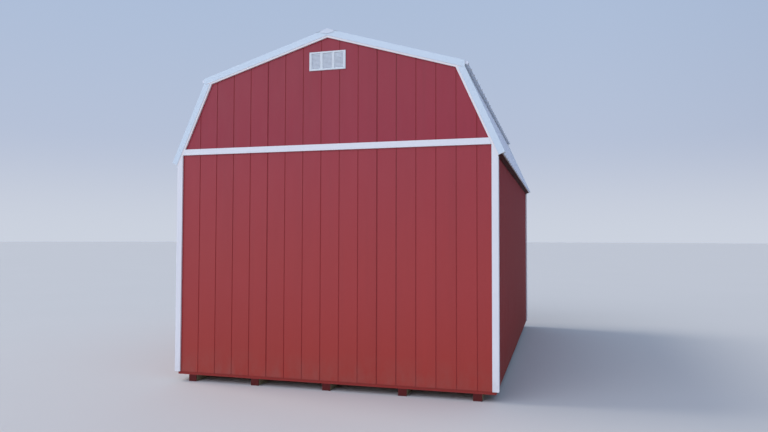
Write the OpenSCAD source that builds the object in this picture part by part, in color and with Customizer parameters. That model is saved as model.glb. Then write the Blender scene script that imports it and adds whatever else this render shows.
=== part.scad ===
// Gambrel-roofed timber storage barn on skids, 12 ft wide at the eaves.
// Origin: centre of the plan, on the ground. The gable end with the band,
// the corner trims and the louvred vent faces -Y. The ridge runs along Y.

/* [Body] */
// Length of the building between the outer faces of the gable siding
len = 5486; // [3600:1:7600]
// Width between the outer faces of the side siding
wid = 3492; // [3300:1:3700]
// Height of the skids above the ground
skid_h = 72; // [60:1:140]
// Height of the lower siding sheets
sheet_h = 2438; // [2200:1:2500]
// Height of the siding's and the corner trims' foot above the floor frame's lower edge
trim_z = 32; // [0:1:60]

/* [Walls] */
// Thickness of the siding sheets
siding_t = 9.5; // [8:0.5:16]
// Depth of the wall studs
stud_t = 89; // [60:1:140]

/* [Floor] */
// Width of a skid
skid_w = 89; // [70:1:140]
// Distance between the centres of neighbouring inner skids
skid_pitch = 809; // [700:1:820]
// Distance from the centre line to an outer skid
skid_out = 1557; // [1500:1:1600]
// Depth of the floor joists
joist_h = 89; // [80:1:140]
// Thickness of a floor joist
joist_t = 38; // [30:1:45]
// Greatest distance between floor joists
joist_pitch = 406; // [300:1:620]
// Thickness of the floor deck
deck_t = 16; // [12:1:25]

/* [Roof] */
// Height of the rake boards' lower edge at the ridge, above the floor frame's lower edge
ridge_z = 3601; // [3400:1:3800]
// Distance of the knuckle from the centre line, on the rake boards' lower edge
knee_x = 1352; // [1250:1:1400]
// Rise of the upper slope for one unit of run
rise_up = 0.3015; // [0.25:0.001:0.4]
// Rise of the lower slope for one unit of run
rise_low = 2.2225; // [2:0.001:2.6]
// Distance of the roof's lower edge from the centre line
eave_x = 1828; // [1815:1:1840]
// Distance of the upper slope's overhanging edge from the centre line
tip_x = 1480; // [1465:1:1500]
// Thickness of the roof: sheathing and ribbed metal
roof_t = 30; // [24:1:40]
// Half width of the ridge cap
cap_w = 120; // [90:1:180]
// Thickness of the ridge cap over the rake trims
cap_t = 5; // [3:1:10]
// Half width of the tab that folds down at each end of the ridge cap
tab_w = 75; // [50:1:90]
// Depth of that tab at the ridge
tab_d = 48; // [30:1:60]
// Thickness of that tab
tab_t = 3; // [2:1:5]
// Thickness of the eave boards
eave_t = 19; // [15:1:25]

/* [Trim] */
// Width of the corner trims and of the band
trim_w = 63.5; // [50:0.5:90]
// Thickness of the corner trims, the band and the rake boards
trim_t = 19; // [15:1:25]
// Height of the band's lower edge above the floor frame's lower edge
band_z = 2414.8; // [2390:0.1:2430]
// Width of the rake boards
rake_w = 82; // [70:1:95]
// Distance of the upper rake boards' plumb ends from the centre line
rake_x = 1443; // [1430:1:1455]
// Thickness of the metal rake trim over the rake board
skin_t = 4; // [2:1:8]
// Width of the metal rake trim's face
skin_w = 62; // [50:1:70]
// Width of the metal rake trim's flange on the roof
flange_w = 75; // [50:1:100]

/* [Vent] */
// Width of the gable vent
vent_w = 402; // [380:1:500]
// Height of the gable vent
vent_h = 198; // [150:1:260]
// Height of the vent's centre above the floor frame's lower edge
vent_z = 3358; // [3250:1:3400]
// Thickness of the vent's flange
vent_t = 9; // [6:1:15]
// Width of the vent's frame at its ends
vent_f = 26; // [16:1:40]
// Height of the vent's frame along its top and foot
vent_v = 18; // [12:1:30]
// Width of the vent's two upright bars
bar_w = 29; // [12:1:40]
// Distance between the centres of those bars
bar_pitch = 131; // [110:1:150]
// Rows of louvre blades
blades = 8; // [5:1:12]

/* [Hidden] */

red = [0.57, 0.23, 0.24];
white = [0.85, 0.87, 0.92];
metal = [0.80, 0.82, 0.86];
timber = [0.52, 0.50, 0.38];
ply = [0.70, 0.58, 0.42];

hw = wid / 2;              // siding face of the sides
hl = len / 2;              // siding face of the gables
foot = skid_h;             // lower edge of the floor frame
lap = foot + trim_z;       // lower edge of the siding
wall_t = siding_t + stud_t;
deck_z = skid_h + joist_h + deck_t;
joint_z = lap + sheet_h;   // joint of the lower sheets and the gable sheets

cu = 1 / sqrt(1 + rise_up * rise_up);     // cosine of the upper slope
su = rise_up * cu;                        // its sine
cl = 1 / sqrt(1 + rise_low * rise_low);   // cosine of the lower slope
sl = rise_low * cl;                       // its sine

// Height of the line that lies n outside (negative: inside) the roof surface
function zu(n, x) = foot + ridge_z + (rake_w + n) / cu - rise_up * x;
knee_z = foot + ridge_z - rise_up * knee_x;
function zl(n, x) = knee_z + (rake_w + n) / cl - rise_low * (x - knee_x);
// The same for the lower slope, as a distance from the centre line
function xl(n, z) = knee_x + (knee_z + (rake_w + n) / cl - z) / rise_low;
// Where line n of the lower slope meets line m of the upper slope
function meet_x(n, m) = (knee_z + (rake_w + n) / cl + rise_low * knee_x
  - foot - ridge_z - (rake_w + m) / cu) / (rise_low - rise_up);
function meet(n, m) = [meet_x(n, m), zu(m, meet_x(n, m))];
// Point n outside the roof's lower corner, s down the lower slope
eave_z = zl(0, eave_x);
function eave(n, s) = [eave_x + n * sl + s * cl, eave_z + n * cl - s * sl];
// Point n outside the upper slope's overhanging corner
function tip(n) = [tip_x + n * su, zu(0, tip_x) + n * cu];

// Extrusion of an outline drawn in X and Z, from y0 to y1
module slab_y(pts, y0, y1)
  translate([0, y1, 0]) rotate([90, 0, 0]) linear_extrude(y1 - y0) polygon(pts);
// Extrusion of an outline drawn in Y and Z, from x0 to x1
module slab_x(pts, x0, x1)
  translate([x0, 0, 0]) rotate([90, 0, 90]) linear_extrude(x1 - x0) polygon(pts);
module block(lo, hi) translate(lo) cube(hi - lo);
// Mirror image for the left side (s = -1) or the back (s = 1)
module side(s) if (s < 0) mirror([1, 0, 0]) children(); else children();
module end(s) if (s > 0) mirror([0, 1, 0]) children(); else children();

module skid(i) {
  x = [-skid_out, -skid_pitch, 0, skid_pitch, skid_out][i];
  color(timber) block([x - skid_w / 2, -hl + siding_t, 0], [x + skid_w / 2, hl - siding_t, skid_h]);
}

module rim_end() color(timber)
  block([-hw + siding_t, -hl + siding_t, skid_h], [hw - siding_t, -hl + siding_t + joist_t, skid_h + joist_h]);
module rim_side() color(timber)
  block([hw - siding_t - joist_t, -hl + siding_t + joist_t, skid_h], [hw - siding_t, hl - siding_t - joist_t, skid_h + joist_h]);
module joists() {
  y0 = -hl + siding_t + joist_t;
  bays = ceil((2 * -y0) / joist_pitch);
  step = (2 * -y0 + joist_t) / bays;
  color(timber) for (i = [1 : bays - 1])
    block([-hw + siding_t + joist_t, y0 - joist_t + i * step, skid_h],
          [hw - siding_t - joist_t, y0 + i * step, skid_h + joist_h]);
}
module deck() color(ply)
  block([-hw + siding_t, -hl + siding_t, skid_h + joist_h], [hw - siding_t, hl - siding_t, deck_z]);

// Height of the roof's underside at the side siding, and half width of the
// end wall at the joint of its sheets
side_z = zl(-roof_t, hw);
joint_x = joint_z > side_z ? xl(-roof_t, joint_z) : hw;

// Wall under a gable: studs on the deck, siding down over the floor frame
module end_wall() color(red) {
  c = joint_z > side_z;
  slab_y(concat([[-hw, deck_z], [hw, deck_z]], c ? [[hw, side_z]] : [],
    [[joint_x, joint_z], [-joint_x, joint_z]], c ? [[-hw, side_z]] : []), -hl, -hl + wall_t);
  block([-hw, -hl, lap], [hw, -hl + siding_t, deck_z]);
}
// Side wall: its top follows the underside of the roof
module side_wall() color(red) slab_y([[hw, lap], [hw, side_z],
  [hw - wall_t, zl(-roof_t, hw - wall_t)], [hw - wall_t, deck_z],
  [hw - siding_t, deck_z], [hw - siding_t, lap]], -hl + wall_t, hl - wall_t);

module gable() {
  k = meet(-roof_t, -roof_t);
  c = joint_z < side_z;
  color(red) difference() {
    slab_y(concat([[-joint_x, joint_z], [joint_x, joint_z]], c ? [[hw, side_z]] : [],
      [k, [0, zu(-roof_t, 0)], [-k[0], k[1]]], c ? [[-hw, side_z]] : []), -hl, -hl + wall_t);
    block([-vent_w / 2 + vent_f, -hl - 1, foot + vent_z - vent_h / 2 + vent_v],
          [vent_w / 2 - vent_f, -hl + wall_t + 1, foot + vent_z + vent_h / 2 - vent_v]);
  }
}

module band() {
  z0 = foot + band_z;
  z1 = z0 + trim_w;
  x0 = hw + trim_t - trim_w;
  x1 = xl(-rake_w, z1);
  color(white) slab_y([[-x0, z0], [x0, z0], [x1, z1], [-x1, z1]], -hl - trim_t, -hl);
}

// Board on the gable face at a corner; the lower rake board lies on its top
module corner_trim() {
  x0 = hw + trim_t - trim_w;
  x1 = hw + trim_t;
  e = eave(-rake_w, 0);
  color(white) slab_y([[x0, lap], [x1, lap],
    [x1, e[1] + (x1 - e[0]) * cl / sl], e, [x0, zl(-rake_w, x0)]], -hl - trim_t, -hl);
}
// Board on the side face at a corner, behind the gable's board
module side_trim() color(white)
  block([hw, -hl, lap], [hw + trim_t, -hl + trim_w, eave(-rake_w, 0)[1] - 2]);

// Rake board with the metal trim that folds over it onto the roof
module rake(pts, skin, lip) color(white) {
  slab_y(pts, -hl - trim_t, -hl);
  slab_y(skin, -hl - trim_t - skin_t, -hl - trim_t);
  slab_y(lip, -hl - trim_t - skin_t, -hl + flange_w);
}
module rake_upper() {
  b = rake_w - skin_w;
  rake([[0, zu(-rake_w, 0)], [knee_x, knee_z], [rake_x, zl(0, rake_x)], [rake_x, zu(0, rake_x)], [0, zu(0, 0)]],
    [[0, zu(-skin_w, 0)], [rake_x, zu(-skin_w, rake_x)], [rake_x, zu(0, rake_x)], [0, zu(0, 0)]],
    [[0, zu(0, 0)], [rake_x, zu(0, rake_x)], [rake_x, zu(skin_t, rake_x)], [0, zu(skin_t, 0)]]);
}
module rake_lower() {
  p = [rake_x, zl(0, rake_x)];
  k = [knee_x, knee_z];
  // end of the metal's inner edge on the joint under the upper board
  d = (p[1] - k[1]) / (p[0] - k[0]);
  qx = (knee_z + (rake_w - skin_w) / cl + rise_low * knee_x - k[1] + d * k[0]) / (rise_low + d);
  q = [qx, k[1] + d * (qx - k[0])];
  f = [xl(skin_t, p[1]), p[1]];
  rake([k, p, eave(0, 0), eave(-rake_w, 0)],
    [q, p, eave(0, 0), eave(-skin_w, 0)],
    [p, f, eave(skin_t, 0), eave(0, 0)]);
}

module roof_upper() color(metal)
  slab_y([[0, zu(-roof_t, 0)], tip(-roof_t), tip(0), [0, zu(0, 0)]], -hl, hl);
module roof_lower() color(metal)
  slab_y([meet(-roof_t, -roof_t), meet(0, -roof_t), eave(0, 0), eave(-roof_t, 0)], -hl, hl);
// Outline of both slopes from n0 to n1 outside the roof, x wide on each side
function ridge_strip(x, n0, n1) = [[-x, zu(n0, x)], [0, zu(n0, 0)], [x, zu(n0, x)],
  [x, zu(n1, x)], [0, zu(n1, 0)], [-x, zu(n1, x)]];
// Ridge cap: on the roof between the rake trims' flanges and over them, with
// a tab folded down over the joint of the rakes at each end
module cap() {
  y1 = hl + trim_t + skin_t;
  n1 = skin_t + cap_t;
  color(metal) {
    slab_y(ridge_strip(cap_w, 0, n1), -hl + flange_w, hl - flange_w);
    slab_y(ridge_strip(cap_w, skin_t, n1), -y1 - tab_t, y1 + tab_t);
    for (s = [-1, 1]) end(s) slab_y([[-tab_w, zu(-10, tab_w)], [0, zu(-tab_d, 0)], [tab_w, zu(-10, tab_w)],
      [tab_w, zu(n1, tab_w)], [0, zu(n1, 0)], [-tab_w, zu(n1, tab_w)]], -y1 - tab_t, -y1);
  }
}
module eave_board() color(red)
  slab_y([eave(-rake_w, -6), eave(-roof_t, -6), eave(-roof_t, -6 - eave_t), eave(-rake_w, -6 - eave_t)], -hl, hl);

// Louvred vent: a flange on the siding, three panels of slanting blades
module vent() {
  z = foot + vent_z;
  iw = vent_w - 2 * vent_f;
  ih = vent_h - 2 * vent_v;
  near = (bar_pitch - bar_w) / 2;
  far = (bar_pitch + bar_w) / 2;
  color(white) {
    difference() {
      block([-vent_w / 2, -hl - vent_t, z - vent_h / 2], [vent_w / 2, -hl, z + vent_h / 2]);
      for (x = [[-iw / 2, -far], [-near, near], [far, iw / 2]])
        block([x[0], -hl - vent_t - 1, z - ih / 2], [x[1], -hl + 1, z + ih / 2]);
    }
    for (j = [0 : blades - 1])
      slab_x([for (q = [[-vent_t + 1, 0], [-vent_t + 1, 3], [6, 17], [6, 14]])
        [-hl + q[0], z - ih / 2 - 2 + j * (ih - 12) / (blades - 1) + q[1] * 0.8]], -iw / 2, iw / 2);
  }
}

skid(0);  // skid_1
skid(1);  // skid_2
skid(2);  // skid_3
skid(3);  // skid_4
skid(4);  // skid_5
end(-1) rim_end();  // rim_joist_front
end(1) rim_end();  // rim_joist_back
side(-1) rim_side();  // rim_joist_left
side(1) rim_side();  // rim_joist_right
joists();  // floor_joists
deck();  // floor_deck
end(-1) end_wall();  // front_wall
end(1) end_wall();  // back_wall
side(-1) side_wall();  // left_wall
side(1) side_wall();  // right_wall
end(-1) gable();  // front_gable
end(1) gable();  // back_gable
end(-1) band();  // front_band
end(1) band();  // back_band
side(-1) corner_trim();  // front_trim_left
side(1) corner_trim();  // front_trim_right
end(1) side(-1) corner_trim();  // back_trim_left
end(1) side(1) corner_trim();  // back_trim_right
side(-1) side_trim();  // side_trim_front_left
side(1) side_trim();  // side_trim_front_right
end(1) side(-1) side_trim();  // side_trim_back_left
end(1) side(1) side_trim();  // side_trim_back_right
side(-1) rake_upper();  // front_rake_upper_left
side(1) rake_upper();  // front_rake_upper_right
side(-1) rake_lower();  // front_rake_lower_left
side(1) rake_lower();  // front_rake_lower_right
end(1) side(-1) rake_upper();  // back_rake_upper_left
end(1) side(1) rake_upper();  // back_rake_upper_right
end(1) side(-1) rake_lower();  // back_rake_lower_left
end(1) side(1) rake_lower();  // back_rake_lower_right
side(-1) roof_upper();  // roof_upper_left
side(1) roof_upper();  // roof_upper_right
side(-1) roof_lower();  // roof_lower_left
side(1) roof_lower();  // roof_lower_right
cap();  // ridge_cap
side(-1) eave_board();  // eave_board_left
side(1) eave_board();  // eave_board_right
end(-1) vent();  // front_vent
end(1) vent();  // back_vent
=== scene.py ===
"""Gambrel-roofed timber storage barn on skids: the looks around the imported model.

Metres, +Z up. The gable end with the band and the vent faces -Y, the ridge runs along Y.
"""
import math
import random

import bmesh
import bpy
from mathutils import Matrix, Vector
from mathutils.geometry import tessellate_polygon

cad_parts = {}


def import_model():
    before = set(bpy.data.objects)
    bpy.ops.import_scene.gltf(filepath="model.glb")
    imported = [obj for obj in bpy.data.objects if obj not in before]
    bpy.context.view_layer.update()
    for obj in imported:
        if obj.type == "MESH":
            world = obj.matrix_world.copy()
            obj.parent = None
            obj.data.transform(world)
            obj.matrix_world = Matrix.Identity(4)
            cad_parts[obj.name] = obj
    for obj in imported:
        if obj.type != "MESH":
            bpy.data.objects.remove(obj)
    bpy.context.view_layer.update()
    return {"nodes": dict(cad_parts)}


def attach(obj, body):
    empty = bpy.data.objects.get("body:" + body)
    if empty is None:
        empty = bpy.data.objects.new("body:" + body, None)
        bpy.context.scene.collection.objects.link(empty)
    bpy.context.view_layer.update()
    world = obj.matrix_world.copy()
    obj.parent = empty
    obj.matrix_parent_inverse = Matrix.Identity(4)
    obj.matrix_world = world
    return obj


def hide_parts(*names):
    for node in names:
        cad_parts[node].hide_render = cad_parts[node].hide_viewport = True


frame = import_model()
node = frame["nodes"]
rnd = random.Random(41)

# ---------------------------------------------------------------- sizes
HW, HL = 1.746, 2.743            # siding faces of the sides and of the gables
FOOT, LAP, DECK = 0.072, 0.104, 0.177
JOINT = LAP + 2.438              # joint of the lower sheets and the gable sheets
SID, WALL = 0.0095, 0.0985       # siding, siding and studs
RZ, KX, RU, RL = 3.601, 1.352, 0.3015, 2.2225
EX, TX, RT = 1.828, 1.480, 0.030
RW, RX, TT = 0.082, 1.443, 0.019
SKIN_T, SKIN_W, FLANGE = 0.004, 0.062, 0.075
PITCH, GROOVE_0 = 0.2032, -1.4892
CAP_W, CAP_T, TAB_W, TAB_D, TAB_T = 0.120, 0.005, 0.075, 0.048, 0.003
VENT_W, VENT_H, VENT_Z, VENT_T = 0.402, 0.198, FOOT + 3.358, 0.009
VENT_F, VENT_V, BAR_W, BAR_PITCH = 0.026, 0.018, 0.029, 0.131

CU = 1 / math.sqrt(1 + RU * RU)
SU = RU * CU
CL = 1 / math.sqrt(1 + RL * RL)
SL = RL * CL
KZ = FOOT + RZ - RU * KX


def zu(n, x):
    return FOOT + RZ + (RW + n) / CU - RU * x


def zl(n, x):
    return KZ + (RW + n) / CL - RL * (x - KX)


def xl(n, z):
    return KX + (KZ + (RW + n) / CL - z) / RL


def meet(n, m):
    x = (KZ + (RW + n) / CL + RL * KX - FOOT - RZ - (RW + m) / CU) / (RL - RU)
    return x, zu(m, x)


EZ = zl(0, EX)


def eave(n, s):
    return EX + n * SL + s * CL, EZ + n * CL - s * SL


def tip(n, s=0.0):
    return TX + n * SU + s * CU, zu(0, TX) + n * CU - s * SU


SIDE_Z = zl(-RT, HW)             # underside of the roof at the side siding
JOINT_X = xl(-RT, JOINT)


# ---------------------------------------------------------------- mesh tools
class Build:
    """Collects closed shells and turns them into one object."""

    def __init__(self):
        self.v, self.f, self.m = [], [], []

    def add(self, verts, faces, mat=0):
        k = len(self.v)
        self.v += [tuple(p) for p in verts]
        for f in faces:
            f = [i for j, i in enumerate(f) if i != f[j - 1]]
            if len(set(f)) > 2:
                self.f.append(tuple(k + i for i in f))
                self.m.append(mat)

    def prism(self, outline, place0, place1, mat=0):
        """A closed prism: outline is a list of 2-D points, place0 and place1 put one at each end."""
        n = len(outline)
        tri = tessellate_polygon([[Vector((p[0], p[1], 0)) for p in outline]])
        v = [place0(*p) for p in outline] + [place1(*p) for p in outline]
        f = [tuple(t) for t in tri] + [tuple(n + i for i in reversed(t)) for t in tri]
        f += [(i, (i + 1) % n, n + (i + 1) % n, n + i) for i in range(n)]
        self.add(v, f, mat)

    def box(self, lo, hi, mat=0):
        x0, y0, z0 = lo
        x1, y1, z1 = hi
        v = [(x0, y0, z0), (x1, y0, z0), (x1, y1, z0), (x0, y1, z0),
             (x0, y0, z1), (x1, y0, z1), (x1, y1, z1), (x0, y1, z1)]
        self.add(v, [(0, 3, 2, 1), (4, 5, 6, 7), (0, 1, 5, 4), (1, 2, 6, 5), (2, 3, 7, 6), (3, 0, 4, 7)], mat)

    def mirrored(self, sx=1, sy=1):
        b = Build()
        b.v = [(x * sx, y * sy, z) for x, y, z in self.v]
        b.f = [tuple(reversed(f)) for f in self.f] if sx * sy < 0 else list(self.f)
        b.m = list(self.m)
        return b

    def make(self, name, mats, slot, replaces=(), bevel=0.0, smooth=None, segments=2, angle=35):
        me = bpy.data.meshes.new(name)
        me.from_pydata(self.v, [], self.f)
        for m in mats:
            me.materials.append(m)
        me.polygons.foreach_set("material_index", self.m)
        bm = bmesh.new()
        bm.from_mesh(me)
        bmesh.ops.recalc_face_normals(bm, faces=bm.faces)
        bm.to_mesh(me)
        bm.free()
        me.update()
        ob = bpy.data.objects.new(name, me)
        bpy.context.scene.collection.objects.link(ob)
        if smooth is not None:
            me.polygons.foreach_set("use_smooth", [True] * len(me.polygons))
            me.set_sharp_from_angle(angle=math.radians(smooth))
        if bevel:
            add_bevel(ob, bevel, segments, angle)
        if replaces:
            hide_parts(*([replaces] if isinstance(replaces, str) else replaces))
        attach(ob, "root")
        return ob


def add_bevel(ob, width, segments=2, angle=35):
    b = ob.modifiers.new("edges", "BEVEL")
    b.width = width
    b.segments = segments
    b.limit_method = "ANGLE"
    b.angle_limit = math.radians(angle)
    b.use_clamp_overlap = True
    b.harden_normals = False
    return b


def thin(line, t):
    """Outline of a sheet of thickness t whose one face runs along line; the sheet lies to the line's right."""
    n = len(line)
    nrm = []
    for i in range(n - 1):
        dx, dy = line[i + 1][0] - line[i][0], line[i + 1][1] - line[i][1]
        d = math.hypot(dx, dy)
        nrm.append((dy / d, -dx / d))
    other = []
    for i in range(n):
        a = nrm[max(i - 1, 0)]
        b = nrm[min(i, n - 2)]
        k = 1 + a[0] * b[0] + a[1] * b[1]
        mx, my = (a[0] + b[0]) / k, (a[1] + b[1]) / k
        other.append((line[i][0] + mx * t, line[i][1] + my * t))
    return list(line) + other[::-1]


# ---------------------------------------------------------------- materials
class Graph:
    def __init__(self, name, rough=0.5, spec=0.5, metal=0.0, color=None):
        self.m = bpy.data.materials.new(name)
        self.m.use_nodes = True
        self.t = self.m.node_tree
        self.t.nodes.clear()
        out = self.t.nodes.new("ShaderNodeOutputMaterial")
        self.b = self.t.nodes.new("ShaderNodeBsdfPrincipled")
        self.t.links.new(self.b.outputs[0], out.inputs[0])
        self.b.inputs["Roughness"].default_value = rough
        self.b.inputs["Specular IOR Level"].default_value = spec
        self.b.inputs["Metallic"].default_value = metal
        if color:
            self.m.diffuse_color = (*color, 1)
        tc = self.t.nodes.new("ShaderNodeTexCoord")
        self.co = tc.outputs["Object"]
        sep = self.t.nodes.new("ShaderNodeSeparateXYZ")
        self.t.links.new(self.co, sep.inputs[0])
        self.x, self.y, self.z = sep.outputs

    def put(self, socket, value):
        if isinstance(value, bpy.types.NodeSocket):
            self.t.links.new(value, socket)
        elif isinstance(value, (tuple, list)) and len(value) == 3 and socket.type == "RGBA":
            socket.default_value = (*value, 1)
        else:
            socket.default_value = value

    def node(self, kind, **kw):
        n = self.t.nodes.new(kind)
        for k, v in kw.items():
            setattr(n, k, v)
        return n

    def math(self, op, a, b=None, c=None, clamp=False):
        n = self.node("ShaderNodeMath", operation=op, use_clamp=clamp)
        for i, v in enumerate((a, b, c)):
            if v is not None:
                self.put(n.inputs[i], v)
        return n.outputs[0]

    def scaled(self, sx, sy, sz, vec=None):
        n = self.node("ShaderNodeVectorMath", operation="MULTIPLY")
        self.put(n.inputs[0], vec or self.co)
        n.inputs[1].default_value = (sx, sy, sz)
        return n.outputs[0]

    def noise(self, stretch, detail=3.0, rough=0.5, distortion=0.0, vec=None):
        n = self.node("ShaderNodeTexNoise")
        self.put(n.inputs["Vector"], self.scaled(*stretch, vec=vec))
        n.inputs["Scale"].default_value = 1.0
        n.inputs["Detail"].default_value = detail
        n.inputs["Roughness"].default_value = rough
        n.inputs["Distortion"].default_value = distortion
        return n.outputs["Fac"]

    def voronoi(self, stretch, feature="F1", out="Distance", randomness=1.0):
        n = self.node("ShaderNodeTexVoronoi", feature=feature)
        self.put(n.inputs["Vector"], self.scaled(*stretch))
        n.inputs["Scale"].default_value = 1.0
        n.inputs["Randomness"].default_value = randomness
        return n.outputs[out]

    def remap(self, v, a, b, lo=0.0, hi=1.0):
        n = self.node("ShaderNodeMapRange", clamp=True)
        self.put(n.inputs["Value"], v)
        n.inputs["From Min"].default_value = a
        n.inputs["From Max"].default_value = b
        n.inputs["To Min"].default_value = lo
        n.inputs["To Max"].default_value = hi
        return n.outputs[0]

    def cell(self, v, seed=0.0):
        """A number between 0 and 1 for each whole part of v."""
        n = self.node("ShaderNodeTexWhiteNoise", noise_dimensions="1D")
        self.put(n.inputs["W"], self.math("ADD", self.math("FLOOR", v), seed))
        return n.outputs["Value"]

    def mix(self, fac, a, b, blend="MIX"):
        n = self.node("ShaderNodeMix", data_type="RGBA", blend_type=blend)
        self.put(n.inputs[0], fac)
        self.put(n.inputs[6], a)
        self.put(n.inputs[7], b)
        return n.outputs[2]

    def tint(self, color, value):
        """The colour, made darker or lighter by a number near 1."""
        n = self.node("ShaderNodeVectorMath", operation="SCALE")
        if isinstance(color, bpy.types.NodeSocket):
            self.put(n.inputs[0], color)
        else:
            n.inputs[0].default_value = color
        self.put(n.inputs["Scale"], value)
        return n.outputs[0]

    def bump(self, height, distance, strength=1.0, normal=None):
        n = self.node("ShaderNodeBump")
        n.inputs["Strength"].default_value = strength
        n.inputs["Distance"].default_value = distance
        self.put(n.inputs["Height"], height)
        if normal is not None:
            self.put(n.inputs["Normal"], normal)
        return n.outputs[0]

    def finish(self, color=None, rough=None, normal=None):
        if color is not None:
            self.put(self.b.inputs["Base Color"], color)
        if rough is not None:
            self.put(self.b.inputs["Roughness"], rough)
        if normal is not None:
            self.put(self.b.inputs["Normal"], normal)
        return self.m


def around(g, v, width, middle=1.0):
    """middle plus v's distance from one half, times width."""
    return g.math("MULTIPLY_ADD", v, width, middle - width / 2)


def red_paint(name, along, base=((0.340, 0.0235, 0.0130), (0.358, 0.0262, 0.0255), (0.350, 0.0220, 0.0340), (0.318, 0.0125, 0.0310)),
              spec=0.5, gloss=0.47):
    """Satin paint on sheet siding embossed with a vertical grain; along is the axis across the grooves."""
    g = Graph(name, spec=spec, color=(0.42, 0.1, 0.11))
    axis = g.x if along == "x" else g.y
    board = g.math("DIVIDE", g.math("SUBTRACT", axis, GROOVE_0 if along == "x" else -2.54), PITCH)
    tone = g.cell(board, 3.0 if along == "x" else 40.0)
    cloud = g.noise((0.9, 0.9, 0.6), 4, 0.55)
    fade = g.noise((5.0, 5.0, 0.45), 3, 0.6)
    grain = g.noise((150.0, 150.0, 3.2), 5, 0.62, 0.4)
    fine = g.noise((420.0, 420.0, 28.0), 3, 0.6)
    v = g.math("ADD", around(g, tone, 0.035), around(g, cloud, 0.10, 0.0))
    v = g.math("ADD", v, around(g, fade, 0.10, 0.0))
    v = g.math("ADD", v, around(g, grain, 0.07, 0.0))
    # a little paler towards the ground: painted light, standing for the bounce from the ground below
    v = g.math("MULTIPLY", v, g.remap(g.z, 0.5, 3.6, 1.045, 0.955))
    # painted light: warmer towards the ground for the bounce from below, cooler up the wall for the skylight; the gable
    # sheets take a tone of their own
    low, mid, high, top = base
    hue = g.mix(g.remap(g.z, 0.15, 1.10), low, mid)
    hue = g.mix(g.remap(g.z, 1.30, 2.40), hue, high)
    hue = g.mix(g.remap(g.z, 2.535, 2.545), hue, top)
    col = g.tint(hue, v)
    # painted shade down in the grooves: a darker red there, near black in the lap slits and in one bolder groove
    part = g.math("FRACT", board)
    off = g.math("MINIMUM", part, g.math("SUBTRACT", 1.0, part))
    whole = g.math("ROUND", board)
    lap, bold = (g.math("COMPARE", whole, float(k), 0.1) for k in ((4, 11) if along == "x" else (5, 20)))
    lap = g.math("ADD", lap, g.math("COMPARE", whole, 10.0 if along == "x" else 11.0, 0.1))
    groove_shade = g.remap(off, 0.0044 / PITCH, 0.0062 / PITCH, 1.0, 0.0)
    col = g.mix(g.math("MULTIPLY", groove_shade, 0.62), col, (0.80 * mid[0], 0.002, 0.002))
    groove_shadow_extra = g.math("ADD", g.math("MULTIPLY", lap, 0.05), g.math("MULTIPLY", bold, 0.20))
    col = g.mix(g.math("MULTIPLY", groove_shade, groove_shadow_extra), col, (0.02, 0.004, 0.004))
    # dust thrown up by rain on the lowest hand's breadth, thinner on the way up
    dust = g.math("MULTIPLY", g.remap(g.z, LAP, LAP + 0.30, 0.34, 0.0), g.remap(g.noise((9, 9, 5), 5, 0.6), 0.35, 0.75))
    col = g.mix(dust, col, (0.26, 0.115, 0.09))
    # faint run-off marks from the top
    run = g.math("MULTIPLY", g.remap(g.noise((26, 26, 0.35), 3, 0.55), 0.56, 0.78, 0.0, 0.16), g.remap(g.z, 1.2, 3.3, 0.35, 1.0))
    col = g.mix(run, col, (0.17, 0.02, 0.022))
    height = g.math("ADD", g.math("MULTIPLY", grain, 0.75), g.math("MULTIPLY", fine, 0.25))
    normal = g.bump(height, 0.0011, 0.55)
    normal = g.bump(g.noise((3.2, 3.2, 1.1), 2, 0.5), 0.004, 0.35, normal)
    rough = around(g, g.noise((14, 14, 3), 3, 0.6), 0.16, gloss)
    return g.finish(col, rough, normal)


def white_paint(name, axis, base=(0.80, 0.81, 0.82)):
    """Satin white on a board; axis is the way its grain runs."""
    g = Graph(name, spec=0.45, color=(0.86, 0.87, 0.88))
    s = [150.0, 150.0, 150.0]
    s["xyz".index(axis)] = 3.0
    grain = g.noise(s, 4, 0.6, 0.3)
    cloud = g.noise((2.2, 2.2, 2.2), 4, 0.55)
    v = g.math("ADD", around(g, cloud, 0.06), around(g, grain, 0.045, 0.0))
    col = g.tint(base, v)
    grime = g.remap(g.noise((34, 34, 7), 5, 0.65), 0.58, 0.82, 0.0, 0.16)
    col = g.mix(grime, col, (0.50, 0.47, 0.44))
    foot = g.math("MULTIPLY", g.remap(g.z, LAP, LAP + 0.22, 0.30, 0.0), g.remap(g.noise((22, 22, 9), 4, 0.6), 0.35, 0.7))
    col = g.mix(foot, col, (0.46, 0.42, 0.38))
    normal = g.bump(grain, 0.0008, 0.4)
    rough = around(g, g.noise((18, 18, 18), 3, 0.6), 0.14, 0.44)
    return g.finish(col, rough, normal)


def sheet_metal(name, base, rough=0.34, wave=(0.9, 2.4, 0.9), spec=0.5):
    """Painted steel sheet, slightly uneven in its flats."""
    g = Graph(name, spec=spec, color=base)
    cloud = g.noise((1.3, 1.3, 1.3), 4, 0.6)
    streak = g.noise((3.0, 34.0, 1.2), 4, 0.6)
    v = g.math("ADD", around(g, cloud, 0.05), around(g, streak, 0.05, 0.0))
    col = g.tint(base, v)
    speck = g.remap(g.noise((60, 60, 60), 5, 0.7), 0.62, 0.82, 0.0, 0.22)
    col = g.mix(speck, col, (0.42, 0.42, 0.41))
    normal = g.bump(g.noise([w * 6 for w in wave], 2, 0.45), 0.0028, 0.5)
    r = around(g, g.noise((11, 11, 11), 4, 0.6), 0.16, rough)
    return g.finish(col, r, normal)


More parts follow.
